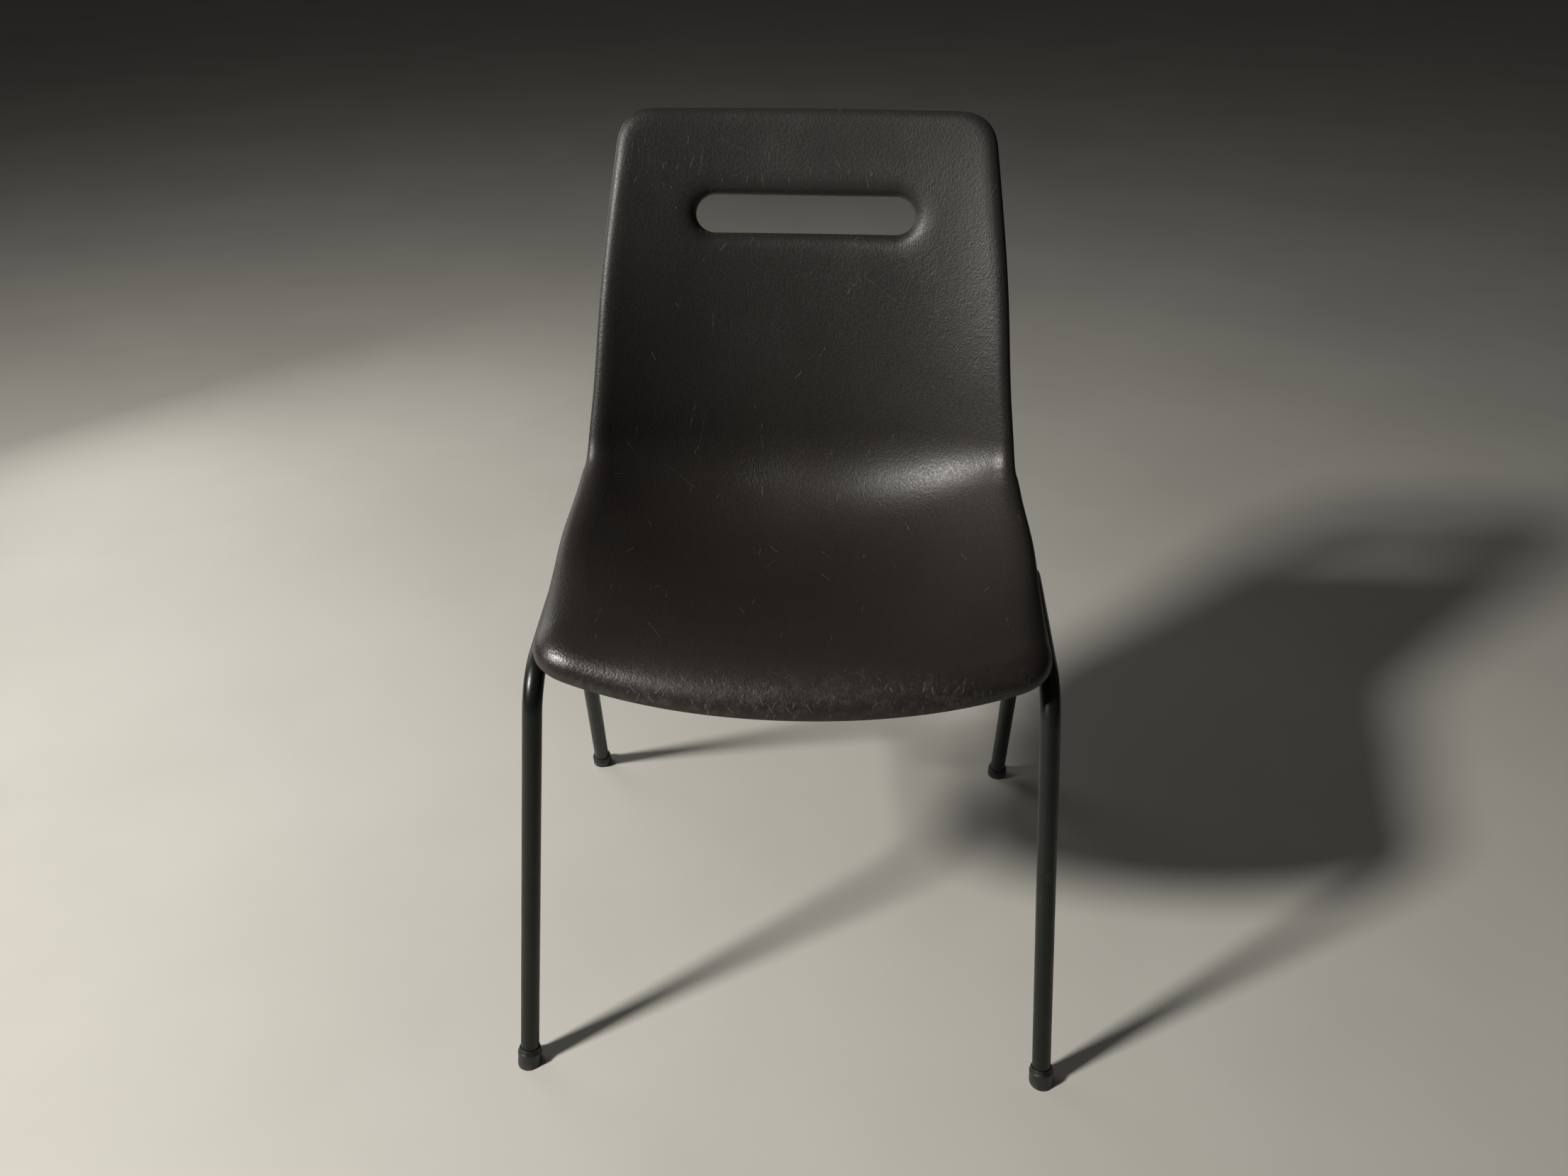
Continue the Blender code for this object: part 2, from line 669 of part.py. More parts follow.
def main():
    clear_scene()
    parts = new_collection("stacking_chair")
    cutters = new_collection("cutters")
    shell = new_material("moulded_shell", (0.022, 0.017, 0.015), 0.45)
    paint = new_material("black_paint", (0.008, 0.009, 0.008), 0.38)
    rubber = new_material("foot_rubber", (0.010, 0.010, 0.010), 0.55)
    steel = new_material("zinc_steel", (0.55, 0.55, 0.53), 0.35, 1.0)
    build_shell(parts, cutters, shell)
    for name, side in SIDES:
        build_side_frame(f"side_frame_{name}", side, parts, paint)
        for row, foot, top in (("front", FRONT_FOOT, FRONT_CORNER),
                               ("rear", REAR_FOOT, REAR_CORNER)):
            build_foot(f"{row}_{name}", mirrored(foot, side), mirrored(top, side),
                       parts, rubber, steel)
    build_cross_tube("cross_tube_front", FRONT_CROSS_Y, parts, cutters, paint)
    build_cross_tube("cross_tube_rear", REAR_CROSS_Y, parts, cutters, paint)
    build_fastenings(parts, cutters, paint, steel)


main()
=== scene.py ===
import json
import math

import bmesh
import bpy
import numpy as np
from mathutils import Matrix, Vector
from mathutils.geometry import interpolate_bezier

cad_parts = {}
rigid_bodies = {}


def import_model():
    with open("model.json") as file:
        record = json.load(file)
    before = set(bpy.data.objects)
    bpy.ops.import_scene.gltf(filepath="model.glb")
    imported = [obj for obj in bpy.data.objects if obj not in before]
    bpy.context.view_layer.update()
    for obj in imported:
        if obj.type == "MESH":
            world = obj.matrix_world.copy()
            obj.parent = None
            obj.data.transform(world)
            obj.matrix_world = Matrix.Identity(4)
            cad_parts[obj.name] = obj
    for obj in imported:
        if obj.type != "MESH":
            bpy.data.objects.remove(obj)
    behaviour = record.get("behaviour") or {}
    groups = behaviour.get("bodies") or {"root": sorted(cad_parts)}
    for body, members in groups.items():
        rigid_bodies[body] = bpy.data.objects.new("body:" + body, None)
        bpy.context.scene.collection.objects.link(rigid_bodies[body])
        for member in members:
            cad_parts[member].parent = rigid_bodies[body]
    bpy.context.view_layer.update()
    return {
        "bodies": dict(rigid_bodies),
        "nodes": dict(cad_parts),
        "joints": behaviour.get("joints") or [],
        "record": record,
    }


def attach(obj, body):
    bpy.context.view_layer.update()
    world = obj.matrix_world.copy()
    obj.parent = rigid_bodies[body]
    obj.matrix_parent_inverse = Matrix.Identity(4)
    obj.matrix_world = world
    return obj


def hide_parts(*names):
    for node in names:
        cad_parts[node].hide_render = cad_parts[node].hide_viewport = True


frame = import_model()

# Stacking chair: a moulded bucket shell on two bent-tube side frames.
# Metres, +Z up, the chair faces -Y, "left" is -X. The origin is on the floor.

nodes = frame["nodes"]
GAP = 0.0003                      # clearance between parts that fit together
SIDES = (("left", -1), ("right", 1))

# Side frames
TUBE_RADIUS = 0.009
TUBE_SIDES = 48
STRAIGHT_STEPS = 40
RUN_HEIGHT = 0.408
BEND_RADIUS = 0.045
BEND_STEPS = 24
BEND_PRESSED, BEND_SWOLLEN = 0.05, 0.03   # how much a bend flattens and widens
FRONT_FOOT = Vector((0.2550, -0.2335, 0.0))
REAR_FOOT = Vector((0.2630, 0.2328, 0.0))
FRONT_CORNER = Vector((0.2300, -0.1392, RUN_HEIGHT))
REAR_CORNER = Vector((0.2405, 0.0800, RUN_HEIGHT))
CROSS_RADIUS = 0.008
FRONT_CROSS_Y = -0.092
REAR_CROSS_Y = 0.030

# Foot caps
CAP_RADIUS = 0.01175
CAP_TOP_RADIUS = 0.0101
CAP_SHOULDER = 0.0140
CAP_TOP = 0.0190
CAP_FLOOR = 0.0062
CAP_SIDES = 64
CAP_LIP_ROUNDING = 0.0005
CAP_SHOULDER_ROUNDING = 0.0016
CAP_SOLE_ROUNDING = 0.0010
DISC_THICKNESS = 0.0012
TUBE_START = CAP_FLOOR + DISC_THICKNESS + 2 * GAP

# Lugs and screws
LUG_X = 0.100
LUG_WIDTH = 0.024
LUG_THICKNESS = 0.003
LUG_REACH = 0.018                 # from the cross tube's axis to the screw
LUG_TOP = RUN_HEIGHT + CROSS_RADIUS + GAP + LUG_THICKNESS
BOSS_RADIUS = 0.009
BOSS_HOLE_RADIUS = 0.0027
BOSS_HOLE_DEPTH = 0.0105
BOSS_SIDES = 40

# Welds: round the cross tubes' ends, and short beads beside the lugs
WELD_STEPS, WELD_SIDES, WELD_RADIUS, WELD_SUNK = 96, 14, 0.0019, 0.0004
BEAD_STEPS, BEAD_SIDES, BEAD_RADIUS, BEAD_SUNK = 40, 12, 0.0015, 0.0010
BEAD_LENGTH = LUG_WIDTH - 0.003
BEAD_FROM_AXIS = 0.0042

# Shell: (y, z, heading in degrees, handle before, handle after), front to top
SHELL_KNOTS = (
    (-0.1835, 0.4370, 1, 0.00, 0.06),
    (0.0200, 0.4245, -1, 0.07, 0.112),
    (0.1660, 0.5200, 82.5, 0.05, 0.10),
    (0.2365, 0.8260, 73, 0.12, 0.00),
)
# run along the middle line, half width, lift of the sides
SHELL_STATIONS = (
    (0.000, 0.2330, 0.006),
    (0.060, 0.2292, 0.016),
    (0.120, 0.2252, 0.035),
    (0.200, 0.2233, 0.063),
    (0.260, 0.2185, 0.078),
    (0.330, 0.2155, 0.082),
    (0.400, 0.2121, 0.068),
    (0.460, 0.2060, 0.057),
    (0.540, 0.1996, 0.043),
    (0.700, 0.1810, 0.018),
)
SIDE_POWER = 2.4
LIFT_SPAN = 0.055                 # half the run over which the lift's direction is taken
SHELL_THICKNESS = 0.004
RIM_ROUNDING = 0.0011
FRONT_BOW = 0.033
TOP_CROWN = 0.0025
FRONT_CORNER_LEG = 0.040
TOP_CORNER_LEG = 0.034
# the rolled edge: how far in it starts to turn, and how far down it ends
FRONT_REACH, FRONT_DROP = 0.062, 0.0375
CORNER_REACH, CORNER_DROP = 0.042, 0.0260
SIDE_REACH, SIDE_DROP = 0.024, 0.0153
BACK_REACH, BACK_DROP = 0.016, 0.0094
SLOT_REACH, SLOT_DROP = 0.023, 0.0135
LEAST_CORNER = 0.012
ROLL_ANGLE = math.radians(100)
ROLL_POWER = 2.0                  # how gently the turn starts
FINE = 5                          # grid cells here for each cell of the CAD shell
COLUMNS = 9 * FINE
ROWS = 26 * FINE
CORNER_STEPS = 2 * FINE
ROLL_STEPS = 14
SLOT_LENGTH = 0.213
SLOT_HEIGHT = 0.037
SLOT_BELOW_TOP = 0.0995
WINDOW_COLUMNS = 8 * FINE
WINDOW_ROWS = (19 * FINE, 24 * FINE)
SLOT_RINGS = 9

# Lights: name, place, target, size, power, colour
LIGHTS = (
    ("key", (-2.05, -1.12, 2.20), (0.0, 0.0, 0.45), 0.40, 120, (1.0, 0.965, 0.905)),
    ("fill", (1.9, -1.6, 2.6), (0.0, 0.0, 0.4), 2.6, 0.8, (0.96, 0.98, 1.0)),
    ("top", (0.2, 1.2, 2.8), (0.0, 0.0, 0.3), 2.2, 1.5, (1.0, 0.99, 0.96)),
    ("side", (-1.5, 1.1, 0.9), (0.0, 0.0, 0.5), 1.3, 7, (1.0, 0.98, 0.94)),
)
WORLD_COLOUR, WORLD_STRENGTH = (0.62, 0.61, 0.58, 1), 0.045

# Camera: where the photograph was taken from
CAMERA_PLACE = Vector((0.0284, -0.9851, 1.0221))
CAMERA_YAW = -0.0402
CAMERA_PITCH = 0.5470
CAMERA_ROLL = 0.0048
CAMERA_LENS = 27.02


# --- Node materials -----------------------------------------------------------

class Tree:
    """A node material that is built with short calls."""

    def __init__(self, name):
        self.material = bpy.data.materials.new(name)
        self.material.use_nodes = True
        self.tree = self.material.node_tree
        self.shader = self.tree.nodes["Principled BSDF"]
        self.place = self.add("TexCoord").outputs["Object"]

    def put(self, socket, value):
        if isinstance(value, bpy.types.NodeSocket):
            self.tree.links.new(value, socket)
        else:
            socket.default_value = value

    def add(self, kind, *values, settings=None, **named):
        item = self.tree.nodes.new("ShaderNode" + kind)
        for key, value in (settings or {}).items():
            setattr(item, key, value)
        for socket, value in zip(item.inputs, values):
            self.put(socket, value)
        for key, value in named.items():
            self.put(item.inputs[key.replace("_", " ")], value)
        return item

    def math(self, operation, *values):
        return self.add("Math", *values, settings={"operation": operation}).outputs[0]

    def vector(self, operation, *values):
        item = self.add("VectorMath", *values, settings={"operation": operation})
        return item.outputs["Vector"]

    def noise(self, scale, detail=2.0, roughness=0.5, where=None, distortion=0.0):
        item = self.add("TexNoise", Vector=where or self.place, Scale=scale, Detail=detail,
                        Roughness=roughness, Distortion=distortion)
        return item.outputs["Fac"]

    def ramp(self, value, low, high, to_low=0.0, to_high=1.0):
        """Smooth change from to_low to to_high as the value goes from low to high."""
        item = self.add("MapRange", settings={"interpolation_type": "SMOOTHSTEP"}, Value=value,
                        From_Min=low, From_Max=high, To_Min=to_low, To_Max=to_high)
        return item.outputs["Result"]

    def mix(self, share, first, second):
        item = self.add("Mix", settings={"data_type": "RGBA"})
        for socket, value in zip((item.inputs[0], item.inputs[6], item.inputs[7]),
                                 (share, first, second)):
            self.put(socket, value)
        return item.outputs[2]

    def bump(self, height, distance, strength, normal=None):
        item = self.add("Bump", Height=height, Distance=distance, Strength=strength)
        if normal:
            self.put(item.inputs["Normal"], normal)
        return item.outputs["Normal"]

    def stretched(self, where, scale):
        return self.add("Mapping", Vector=where, Scale=scale).outputs["Vector"]

    def scratches(self, where, cell, length, width, lean, share):
        """Short straight marks, at most one in each cell, near the second axis."""
        cells = self.add("TexVoronoi", settings={"voronoi_dimensions": "2D"}, Vector=where,
                         Scale=1 / cell, Randomness=0.9)
        chance = self.add("SeparateColor", cells.outputs["Color"])
        offset = self.vector("SUBTRACT", where, cells.outputs["Position"])
        angle = self.math("MULTIPLY", self.math("SUBTRACT", chance.outputs[0], 0.5), 2 * lean)
        turned = self.add("VectorRotate", Vector=offset, Angle=angle,
                          settings={"rotation_type": "Z_AXIS"}).outputs["Vector"]
        parts = self.add("SeparateXYZ", turned)
        reach = self.math("MULTIPLY", self.ramp(chance.outputs[1], 0, 1, 0.35, 1.0), length / 2)
        across = self.math("ABSOLUTE", parts.outputs[0])
        along = self.math("DIVIDE", self.math("ABSOLUTE", parts.outputs[1]), reach)
        line = self.ramp(across, width * 0.3, width * 0.7, 1.0, 0.0)
        ends = self.ramp(along, 0.6, 1.0, 1.0, 0.0)
        there = self.math("LESS_THAN", chance.outputs[2], share)
        return self.math("MULTIPLY", self.math("MULTIPLY", line, ends), there)

    def constants(self, **values):
        for key, value in values.items():
            self.shader.inputs[key.replace("_", " ")].default_value = value

    def finish(self, colour, roughness, normal):
        self.put(self.shader.inputs["Base Color"], colour)
        self.put(self.shader.inputs["Roughness"], roughness)
        self.put(self.shader.inputs["Normal"], normal)
        return self.material


def shell_material():
    """Brown-black moulded plastic with a leather grain, worn at its front lip."""
    t = Tree("moulded_shell")
    surface = t.add("UVMap", settings={"uv_map": "surface"}).outputs["UV"]
    spot = t.add("SeparateXYZ", surface)
    run = spot.outputs[1]
    # colour: redder on the seat, greyer up the back, clouded
    upper = t.ramp(run, 0.25, 0.62)
    greyed = t.ramp(run, 0.50, 0.66)
    colour = t.mix(upper, (0.0158, 0.0126, 0.0113, 1), (0.0150, 0.0141, 0.0128, 1))
    clouds = t.ramp(t.noise(9, 3, 0.55), 0.32, 0.68)
    colour = t.mix(t.math("MULTIPLY", clouds, 0.35), colour, (0.0112, 0.0096, 0.0088, 1))
    specks = t.ramp(t.noise(900, 2, 0.6), 0.60, 0.74)
    colour = t.mix(t.math("MULTIPLY", specks, 0.25), colour, (0.050, 0.046, 0.042, 1))
    # grain: pebbles about 2 mm across, drawn out into short creases along the run
    wander = t.add("TexNoise", Vector=t.place, Scale=160.0, Detail=2.0).outputs["Color"]
    moved = t.vector("MULTIPLY_ADD", wander, (0.0022, 0.0022, 0.0022), t.place)
    pebbles = t.add("TexVoronoi", settings={"feature": "SMOOTH_F1"}, Vector=moved, Scale=470.0,
                    Smoothness=0.6, Randomness=1.0).outputs["Distance"]
    creases = t.noise(1.0, 3, 0.6, t.stretched(surface, (620.0, 170.0, 1.0)), 0.6)
    creased = t.ramp(t.noise(14, 2, 0.5), 0.38, 0.72, 0.15, 1.0)
    crease_lines = t.math("MULTIPLY", t.ramp(creases, 0.44, 0.60), creased)
    fine = t.noise(1500, 2, 0.6)
    wrinkles = t.noise(210, 3, 0.62, distortion=0.8)
    lip_noise = t.math("ADD", run, t.math("MULTIPLY", t.noise(35, 3), 0.05))
    lip = t.ramp(lip_noise, 0.030, 0.062, 1.0, 0.0)
    # marks: fine ones up the back and on the seat, heavier ones on the lip
    short = t.scratches(surface, 0.011, 0.009, 0.00045, 0.5, 0.30)
    sparse = t.scratches(surface, 0.026, 0.020, 0.0005, 0.8, 0.16)
    long = t.scratches(surface, 0.070, 0.060, 0.0004, 1.3, 0.22)
    worn = t.scratches(surface, 0.0085, 0.012, 0.0006, 0.9, 0.34)
    patches = t.ramp(t.noise(7, 2), 0.42, 0.70)
    high = t.ramp(run, 0.52, 0.62)
    marks = t.math("MULTIPLY", short, t.math("MULTIPLY", high, patches))
    marks = t.math("MAXIMUM", marks, t.math("MULTIPLY", sparse, 0.8))
    marks = t.math("MAXIMUM", marks, t.math("MULTIPLY", long, 0.45))
    marks = t.math("MAXIMUM", marks, t.math("MULTIPLY", worn, lip))
    broken = t.math("MULTIPLY", marks, t.ramp(t.noise(260, 2), 0.34, 0.56))
    colour = t.mix(t.math("MULTIPLY", broken, 0.55), colour, (0.150, 0.138, 0.125, 1))
    scuffed = t.math("MULTIPLY", lip, t.ramp(t.noise(120, 3, 0.7), 0.46, 0.66))
    colour = t.mix(t.math("MULTIPLY", scuffed, 0.30), colour, (0.070, 0.064, 0.058, 1))
    # gloss: polished where people sit and on the corners, duller in the grain and the marks
    cornered = t.math("MULTIPLY", t.ramp(run, 0.05, 0.14, 1.0, 0.0),
                      t.ramp(t.math("ABSOLUTE", spot.outputs[0]), 0.12, 0.19))
    polished = t.ramp(t.noise(5, 2), 0.35, 0.65, 0.40, 0.34)
    rough = t.math("ADD", polished, t.math("MULTIPLY", t.ramp(pebbles, 0.2, 0.7), 0.09))
    rough = t.math("ADD", rough, t.math("MULTIPLY", broken, 0.20))
    rough = t.math("ADD", rough, t.math("MULTIPLY", t.noise(60, 3), 0.06))
    rough = t.math("ADD", rough, t.math("MULTIPLY", greyed, 0.06))
    rough = t.math("SUBTRACT", rough, t.math("MULTIPLY", cornered, 0.13))
    height = t.math("ADD", t.math("MULTIPLY", pebbles, -1.0), t.math("MULTIPLY", fine, 0.20))
    height = t.math("ADD", height, t.math("MULTIPLY", crease_lines, -0.55))
    wrinkled = t.math("ADD", lip, 1.4)
    height = t.math("ADD", height, t.math("MULTIPLY", wrinkles, wrinkled))
    height = t.math("ADD", height, t.math("MULTIPLY", broken, -0.8))
    normal = t.bump(height, 0.00019, 0.66)
    normal = t.bump(t.noise(28, 2), 0.0012, 0.25, normal)
    t.constants(IOR=1.48, Specular_IOR_Level=0.5)
    return t.finish(colour, rough, normal)


def paint_material():
    """Black stove enamel with a slight green cast, orange peel and rubbed marks."""
    t = Tree("black_paint")
    colour = t.mix(t.ramp(t.noise(30, 3), 0.3, 0.7), (0.0042, 0.0053, 0.0044, 1),
                   (0.0068, 0.0082, 0.0068, 1))
    dust = t.ramp(t.noise(650, 2, 0.7), 0.66, 0.76)
    colour = t.mix(t.math("MULTIPLY", dust, 0.35), colour, (0.060, 0.062, 0.052, 1))
    rubbed = t.math("MULTIPLY", t.ramp(t.noise(60, 4, 0.7), 0.60, 0.72),
                    t.ramp(t.noise(9, 1), 0.50, 0.64))
    colour = t.mix(t.math("MULTIPLY", rubbed, 0.35), colour, (0.050, 0.052, 0.046, 1))
    rough = t.math("ADD", t.ramp(t.noise(45, 3), 0.3, 0.7, 0.30, 0.42),
                   t.math("MULTIPLY", rubbed, 0.18))
    height = t.math("ADD", t.noise(420, 2, 0.5), t.math("MULTIPLY", t.noise(1300, 1), 0.3))
    normal = t.bump(height, 0.00012, 0.45)
    t.constants(IOR=1.5, Specular_IOR_Level=0.34)
    return t.finish(colour, rough, normal)


def rubber_material():
    """Black rubber with a moulded bloom, scuffed and dusty near the floor."""
    t = Tree("foot_rubber")
    height_above = t.add("SeparateXYZ", t.place).outputs[2]
    dusty = t.math("MULTIPLY", t.ramp(height_above, 0.0005, 0.009, 1.0, 0.0),
                   t.ramp(t.noise(260, 3, 0.65), 0.36, 0.66))
    colour = t.mix(t.ramp(t.noise(140, 3), 0.3, 0.7), (0.0080, 0.0086, 0.0084, 1),
                   (0.0140, 0.0148, 0.0140, 1))
    colour = t.mix(t.math("MULTIPLY", dusty, 0.45), colour, (0.085, 0.080, 0.068, 1))
    rough = t.math("ADD", t.ramp(t.noise(200, 2), 0.3, 0.7, 0.36, 0.50),
                   t.math("MULTIPLY", dusty, 0.30))
    height = t.math("ADD", t.noise(900, 3, 0.6), t.math("MULTIPLY", t.noise(240, 2), 1.2))
    t.constants(IOR=1.5)
    return t.finish(colour, rough, t.bump(height, 0.00014, 0.5))


def steel_material():
    """Zinc-plated steel: spangled, with small dull spots."""
    t = Tree("zinc_steel")
    cells = t.add("TexVoronoi", Vector=t.place, Scale=900.0).outputs["Color"]
    shade = t.add("SeparateColor", cells).outputs[0]
    spots = t.ramp(t.noise(420, 3, 0.7), 0.58, 0.70)
    colour = t.mix(shade, (0.48, 0.48, 0.46, 1), (0.62, 0.61, 0.57, 1))
    colour = t.mix(t.math("MULTIPLY", spots, 0.6), colour, (0.24, 0.20, 0.15, 1))
    rough = t.math("ADD", t.math("MULTIPLY", shade, 0.10),
                   t.ramp(spots, 0, 1, 0.28, 0.55))
    t.constants(Metallic=1.0)
    return t.finish(colour, rough, t.bump(t.noise(1100, 2), 0.00008, 0.4))


def floor_material():
    """Plain pale floor, very slightly clouded."""
    t = Tree("pale_floor")
    clouds = t.ramp(t.noise(1.6, 4, 0.6), 0.3, 0.7)
    colour = t.mix(clouds, (0.475, 0.465, 0.430, 1), (0.515, 0.505, 0.470, 1))
    rough = t.ramp(t.noise(3, 3), 0.3, 0.7, 0.62, 0.75)
    return t.finish(colour, rough, t.bump(t.noise(180, 3, 0.6), 0.0003, 0.25))


# --- Mesh helpers ---------------------------------------------------------------

def new_piece(name, mesh, material, replaced=(), smooth_below=40):
    """A piece of the chair, smooth below the angle, that rides on its body."""
    item = bpy.data.objects.new(name, mesh)
    bpy.context.scene.collection.objects.link(item)
    mesh.materials.clear()
    mesh.materials.append(material)
    mesh.shade_smooth()
    mesh.set_sharp_from_angle(angle=math.radians(smooth_below))
    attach(item, "root")
    if replaced:
        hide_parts(*replaced)


def mesh_of(name, shape):
    mesh = bpy.data.meshes.new(name)
    shape.to_mesh(mesh)
    shape.free()
    return mesh


def baked(item):
    """The object's mesh after its modifiers; the object goes."""
    bpy.context.view_layer.update()
    mesh = bpy.data.meshes.new_from_object(
        item.evaluated_get(bpy.context.evaluated_depsgraph_get()))
    mesh.transform(item.matrix_world)
    bpy.data.objects.remove(item, do_unlink=True)
    return mesh


def mirrored(point, side):
    return Vector((side * point.x, point.y, point.z))


def along(direction):
    return Vector((0, 0, 1)).rotation_difference(direction)


def bend(before, middle, after):
    """Arc that rounds the corner between two straight lengths of tube."""
    back, ahead = (before - middle).normalized(), (after - middle).normalized()
    half = back.angle(ahead) / 2
    bisector = (back + ahead).normalized()
    centre = middle + bisector * BEND_RADIUS / math.sin(half)
    start = middle + back * BEND_RADIUS / math.tan(half) - centre
    axis = start.cross(middle - centre).normalized()
    return [centre + Matrix.Rotation((math.pi - 2 * half) * i / BEND_STEPS, 3, axis) @ start
            for i in range(BEND_STEPS + 1)]


def swept(name, line, sizes, sides, flat, closed=False):
    """Tube along a line of points that lies across the direction flat. sizes holds a
    radius for each point, or a pair: in the plane of the bends and across it."""
    shape = bmesh.new()
    layer = shape.loops.layers.uv.new("surface")
    count = len(line)
    rings, gone = [], [0.0]
    for i, place in enumerate(line):
        before = line[(i - 1) % count] if closed else line[max(i - 1, 0)]
        after = line[(i + 1) % count] if closed else line[min(i + 1, count - 1)]
        way = (after - before).normalized()
        first = way.cross(flat).normalized()
        second = first.cross(way)
        inner, outer = sizes[i] if isinstance(sizes[i], tuple) else (sizes[i], sizes[i])
        rings.append([shape.verts.new(place + inner * math.cos(a) * first
                                      + outer * math.sin(a) * second)
                      for a in (2 * math.pi * k / sides for k in range(sides))])
        if i:
            gone.append(gone[-1] + (place - line[i - 1]).length)
    pairs = list(zip(range(count - 1), range(1, count)))
    if closed:
        pairs.append((count - 1, 0))
    for i, j in pairs:
        for k in range(sides):
            face = shape.faces.new((rings[i][k], rings[i][(k + 1) % sides],
                                    rings[j][(k + 1) % sides], rings[j][k]))
            spots = ((k, gone[i]), (k + 1, gone[i]), (k + 1, gone[j]), (k, gone[j]))
            for loop, (turn, run) in zip(face.loops, spots):
                loop[layer].uv = (turn / sides * 2 * math.pi * TUBE_RADIUS, run)
    if not closed:
        shape.faces.new(rings[0])
        shape.faces.new(rings[-1])
    bmesh.ops.recalc_face_normals(shape, faces=shape.faces)
    return mesh_of(name, shape)


def turned(name, profile, sides):
    """A closed solid turned about Z from a profile that runs down its outer side."""
    shape = bmesh.new()
    layer = shape.loops.layers.uv.new("surface")
    rings = []
    for radius, height in profile:
        if radius < 1e-6:
            rings.append([shape.verts.new((0, 0, height))])
        else:
            rings.append([shape.verts.new((radius * math.cos(a), radius * math.sin(a), height))
                          for a in (2 * math.pi * k / sides for k in range(sides))])
    for upper, lower in zip(rings, rings[1:]):
        for k in range(sides):
            corners = []
            for vert in (upper[k % len(upper)], upper[(k + 1) % len(upper)],
                         lower[(k + 1) % len(lower)], lower[k % len(lower)]):
                if vert not in corners:
                    corners.append(vert)
            if len(corners) > 2:
                face = shape.faces.new(corners)
                for loop in face.loops:
                    loop[layer].uv = (loop.vert.co.x, loop.vert.co.z)
    bmesh.ops.recalc_face_normals(shape, faces=shape.faces)
    return mesh_of(name, shape)


def arc(centre, radius, start, end, steps):
    """Points of an arc in a profile, angles in degrees."""
    angles = [math.radians(start + (end - start) * i / steps) for i in range(steps + 1)]
    return [(centre[0] + radius * math.cos(a), centre[1] + radius * math.sin(a))
            for a in angles]


# --- Shell -----------------------------------------------------------------------

def middle_line():
    """Samples of the shell's middle line: run, y and z."""
    points = []
    for before, after in zip(SHELL_KNOTS, SHELL_KNOTS[1:]):
        start, end = Vector(before[:2]), Vector(after[:2])
        leave, arrive = math.radians(before[2]), math.radians(after[2])
        first = start + before[4] * Vector((math.cos(leave), math.sin(leave)))
        second = end - after[3] * Vector((math.cos(arrive), math.sin(arrive)))
        points += interpolate_bezier(start, first, second, end, 60)[:-1]
    points.append(end)
    points = np.array([(p[0], p[1]) for p in points])
    steps = np.linalg.norm(np.diff(points, axis=0), axis=1)
    return np.concatenate(([0.0], np.cumsum(steps))), points[:, 0], points[:, 1]


LINE_RUNS, LINE_Y, LINE_Z = middle_line()
SHELL_LENGTH = float(LINE_RUNS[-1])
STATION_RUNS = [station[0] for station in SHELL_STATIONS]
STATION_VALUES = [[station[k] for station in SHELL_STATIONS] for k in range(3)]
STATION_SLOPES = [np.gradient(values, STATION_RUNS) for values in STATION_VALUES]


def station_value(run, column):
    """Smooth curve through one column of the shell's stations."""
    values, slopes = STATION_VALUES[column], STATION_SLOPES[column]
    i = min(max(int(np.searchsorted(STATION_RUNS, run)) - 1, 0), len(STATION_RUNS) - 2)
    width = STATION_RUNS[i + 1] - STATION_RUNS[i]
    t = (run - STATION_RUNS[i]) / width
    value = ((1 + 2 * t) * (1 - t) ** 2 * values[i] + t * (1 - t) ** 2 * width * slopes[i]
             + t * t * (3 - 2 * t) * values[i + 1] + t * t * (t - 1) * width * slopes[i + 1])
    return float(value)


def half_width(run):
    return station_value(run, 1)


def smooth_step(low, high, value):
    t = min(max((value - low) / (high - low), 0.0), 1.0)
    return t * t * (3 - 2 * t)


def line_at(run):
    return (float(np.interp(run, LINE_RUNS, LINE_Y)), float(np.interp(run, LINE_RUNS, LINE_Z)))


def shell_point(x, run):
    """Point of the shell's upper face, at x across and run along its middle."""
    before, after = max(run - LIFT_SPAN, 0), min(run + LIFT_SPAN, SHELL_LENGTH)
    low, high = line_at(before), line_at(after)
    heading = Vector((0, high[0] - low[0], high[1] - low[1])).normalized()
    normal = Vector((1, 0, 0)).cross(heading)
    lift = station_value(run, 2) * abs(x / half_width(run)) ** SIDE_POWER
    return Vector((x, *line_at(run))) + lift * normal


def shell_frame(x, run):
    """Point, tangent across, tangent along and normal of the upper face."""
    step = 0.001
    across = (shell_point(x + step, run) - shell_point(x - step, run)).normalized()
    low, high = max(run - step, 0), min(run + step, SHELL_LENGTH)
    along_run = (shell_point(x, high) - shell_point(x, low)).normalized()
    return shell_point(x, run), across, along_run, across.cross(along_run).normalized()


def roll_profile():
    """Steps of the rolled edge: shares of its reach and of its drop, and its length."""
    parts = 400
    turns = [ROLL_ANGLE * ((i + 0.5) / parts) ** ROLL_POWER for i in range(parts)]
    outwards = np.concatenate(([0.0], np.cumsum(np.cos(turns))))
    downwards = np.concatenate(([0.0], np.cumsum(np.sin(turns))))
    steps = []
    for k in range(1, ROLL_STEPS + 1):
        share = (k / ROLL_STEPS) ** (1 / ROLL_POWER) * parts
        out, down = (float(np.interp(share, range(parts + 1), sums) / sums[-1])
                     for sums in (outwards, downwards))
        steps.append((out, down, share / float(outwards[-1])))
    return steps


def edge_size(x, run, front, corner_size, side, back):
    """Reach or drop of the rolled edge: large at the front, small round the back."""
    side += (back - side) * smooth_step(0.28, 0.42, run)
    front += (corner_size - front) * min((x / 0.20) ** 2, 1)
    return front + (side - front) * smooth_step(0.06, 0.18, run)


